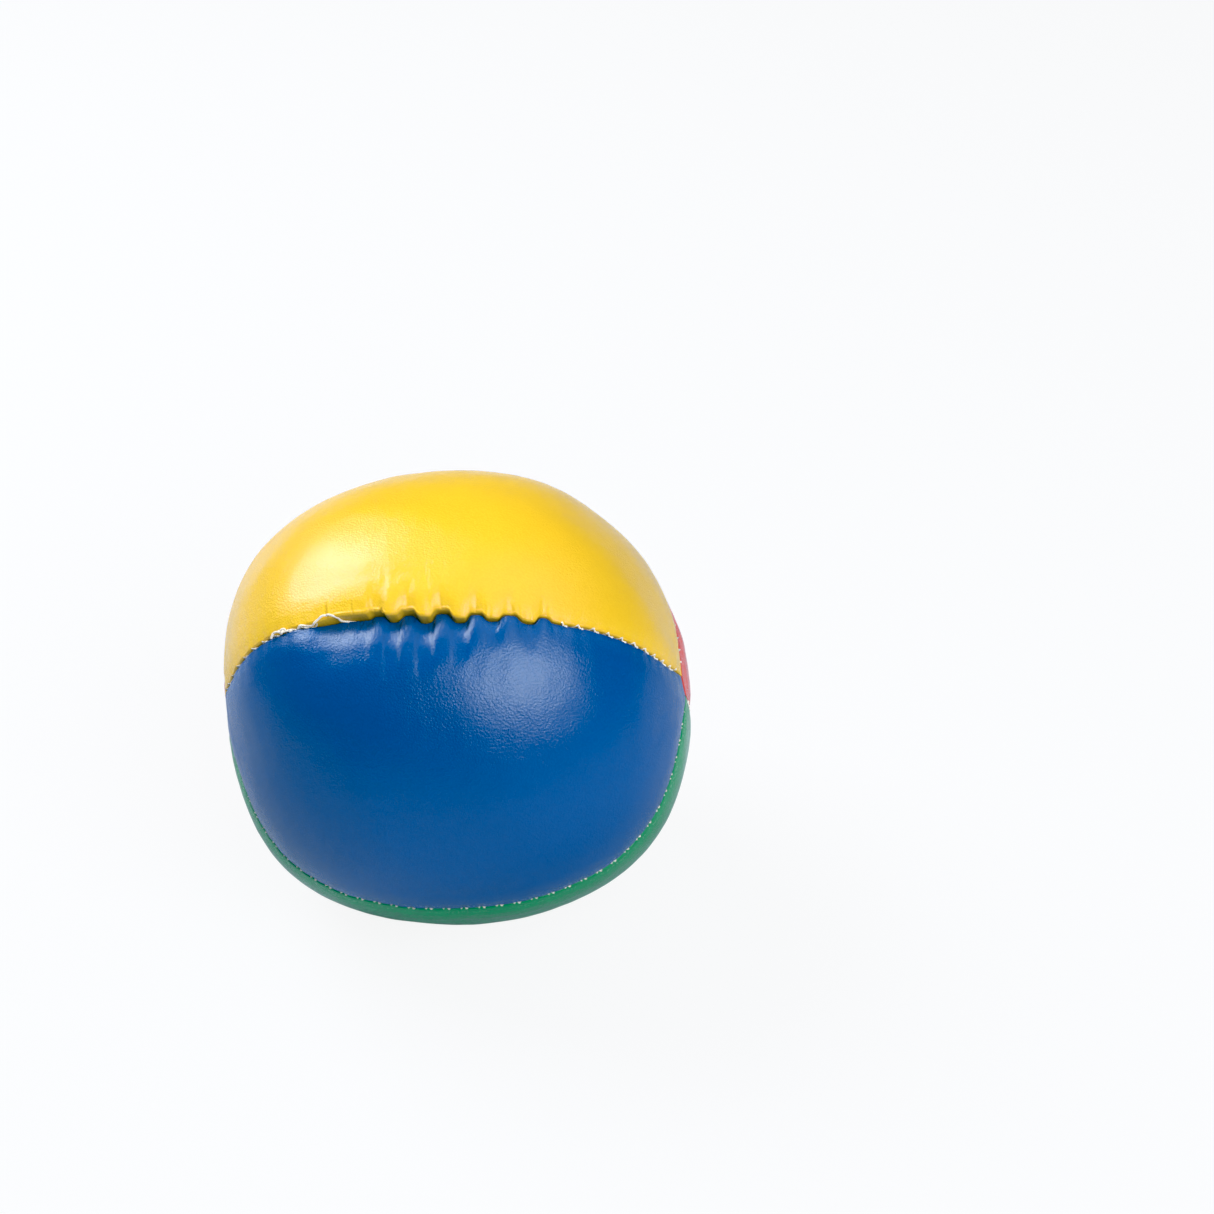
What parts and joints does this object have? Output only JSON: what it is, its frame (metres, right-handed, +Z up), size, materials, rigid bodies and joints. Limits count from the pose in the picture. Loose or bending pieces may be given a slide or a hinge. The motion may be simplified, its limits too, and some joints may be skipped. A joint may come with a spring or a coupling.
{
  "type": "juggling ball",
  "caption": "Soft beanbag juggling ball: coloured leatherette panels sewn pole to pole round a millet filling, closed by hand in one seam.",
  "frame": {"origin": "middle of the flat that the resting ball has pressed under itself", "axes": "+Z up, X along the line between the two poles where the panels meet, -Y the front, where the blue panel faces"},
  "size_m": [0.063, 0.0608, 0.0586],
  "materials": {
    "blue_leatherette": "fine-grained satin synthetic leather",
    "yellow_leatherette": "fine-grained satin synthetic leather",
    "red_leatherette": "fine-grained satin synthetic leather",
    "green_leatherette": "fine-grained satin synthetic leather",
    "seam_thread": "twisted off-white sewing thread",
    "millet": "small dry hulled grains"
  },
  "bodies": {
    "root": {"blue_panel": "blue_leatherette", "yellow_panel": "yellow_leatherette", "red_panel": "red_leatherette", "green_panel": "green_leatherette", "seam_thread_blue_green": "seam_thread", "seam_thread_green_red": "seam_thread", "seam_thread_red_yellow": "seam_thread", "seam_thread_yellow_blue_left": "seam_thread", "seam_thread_yellow_blue_right": "seam_thread", "closing_thread": "seam_thread", "millet_filling": "millet"}
  },
  "joints": []
}
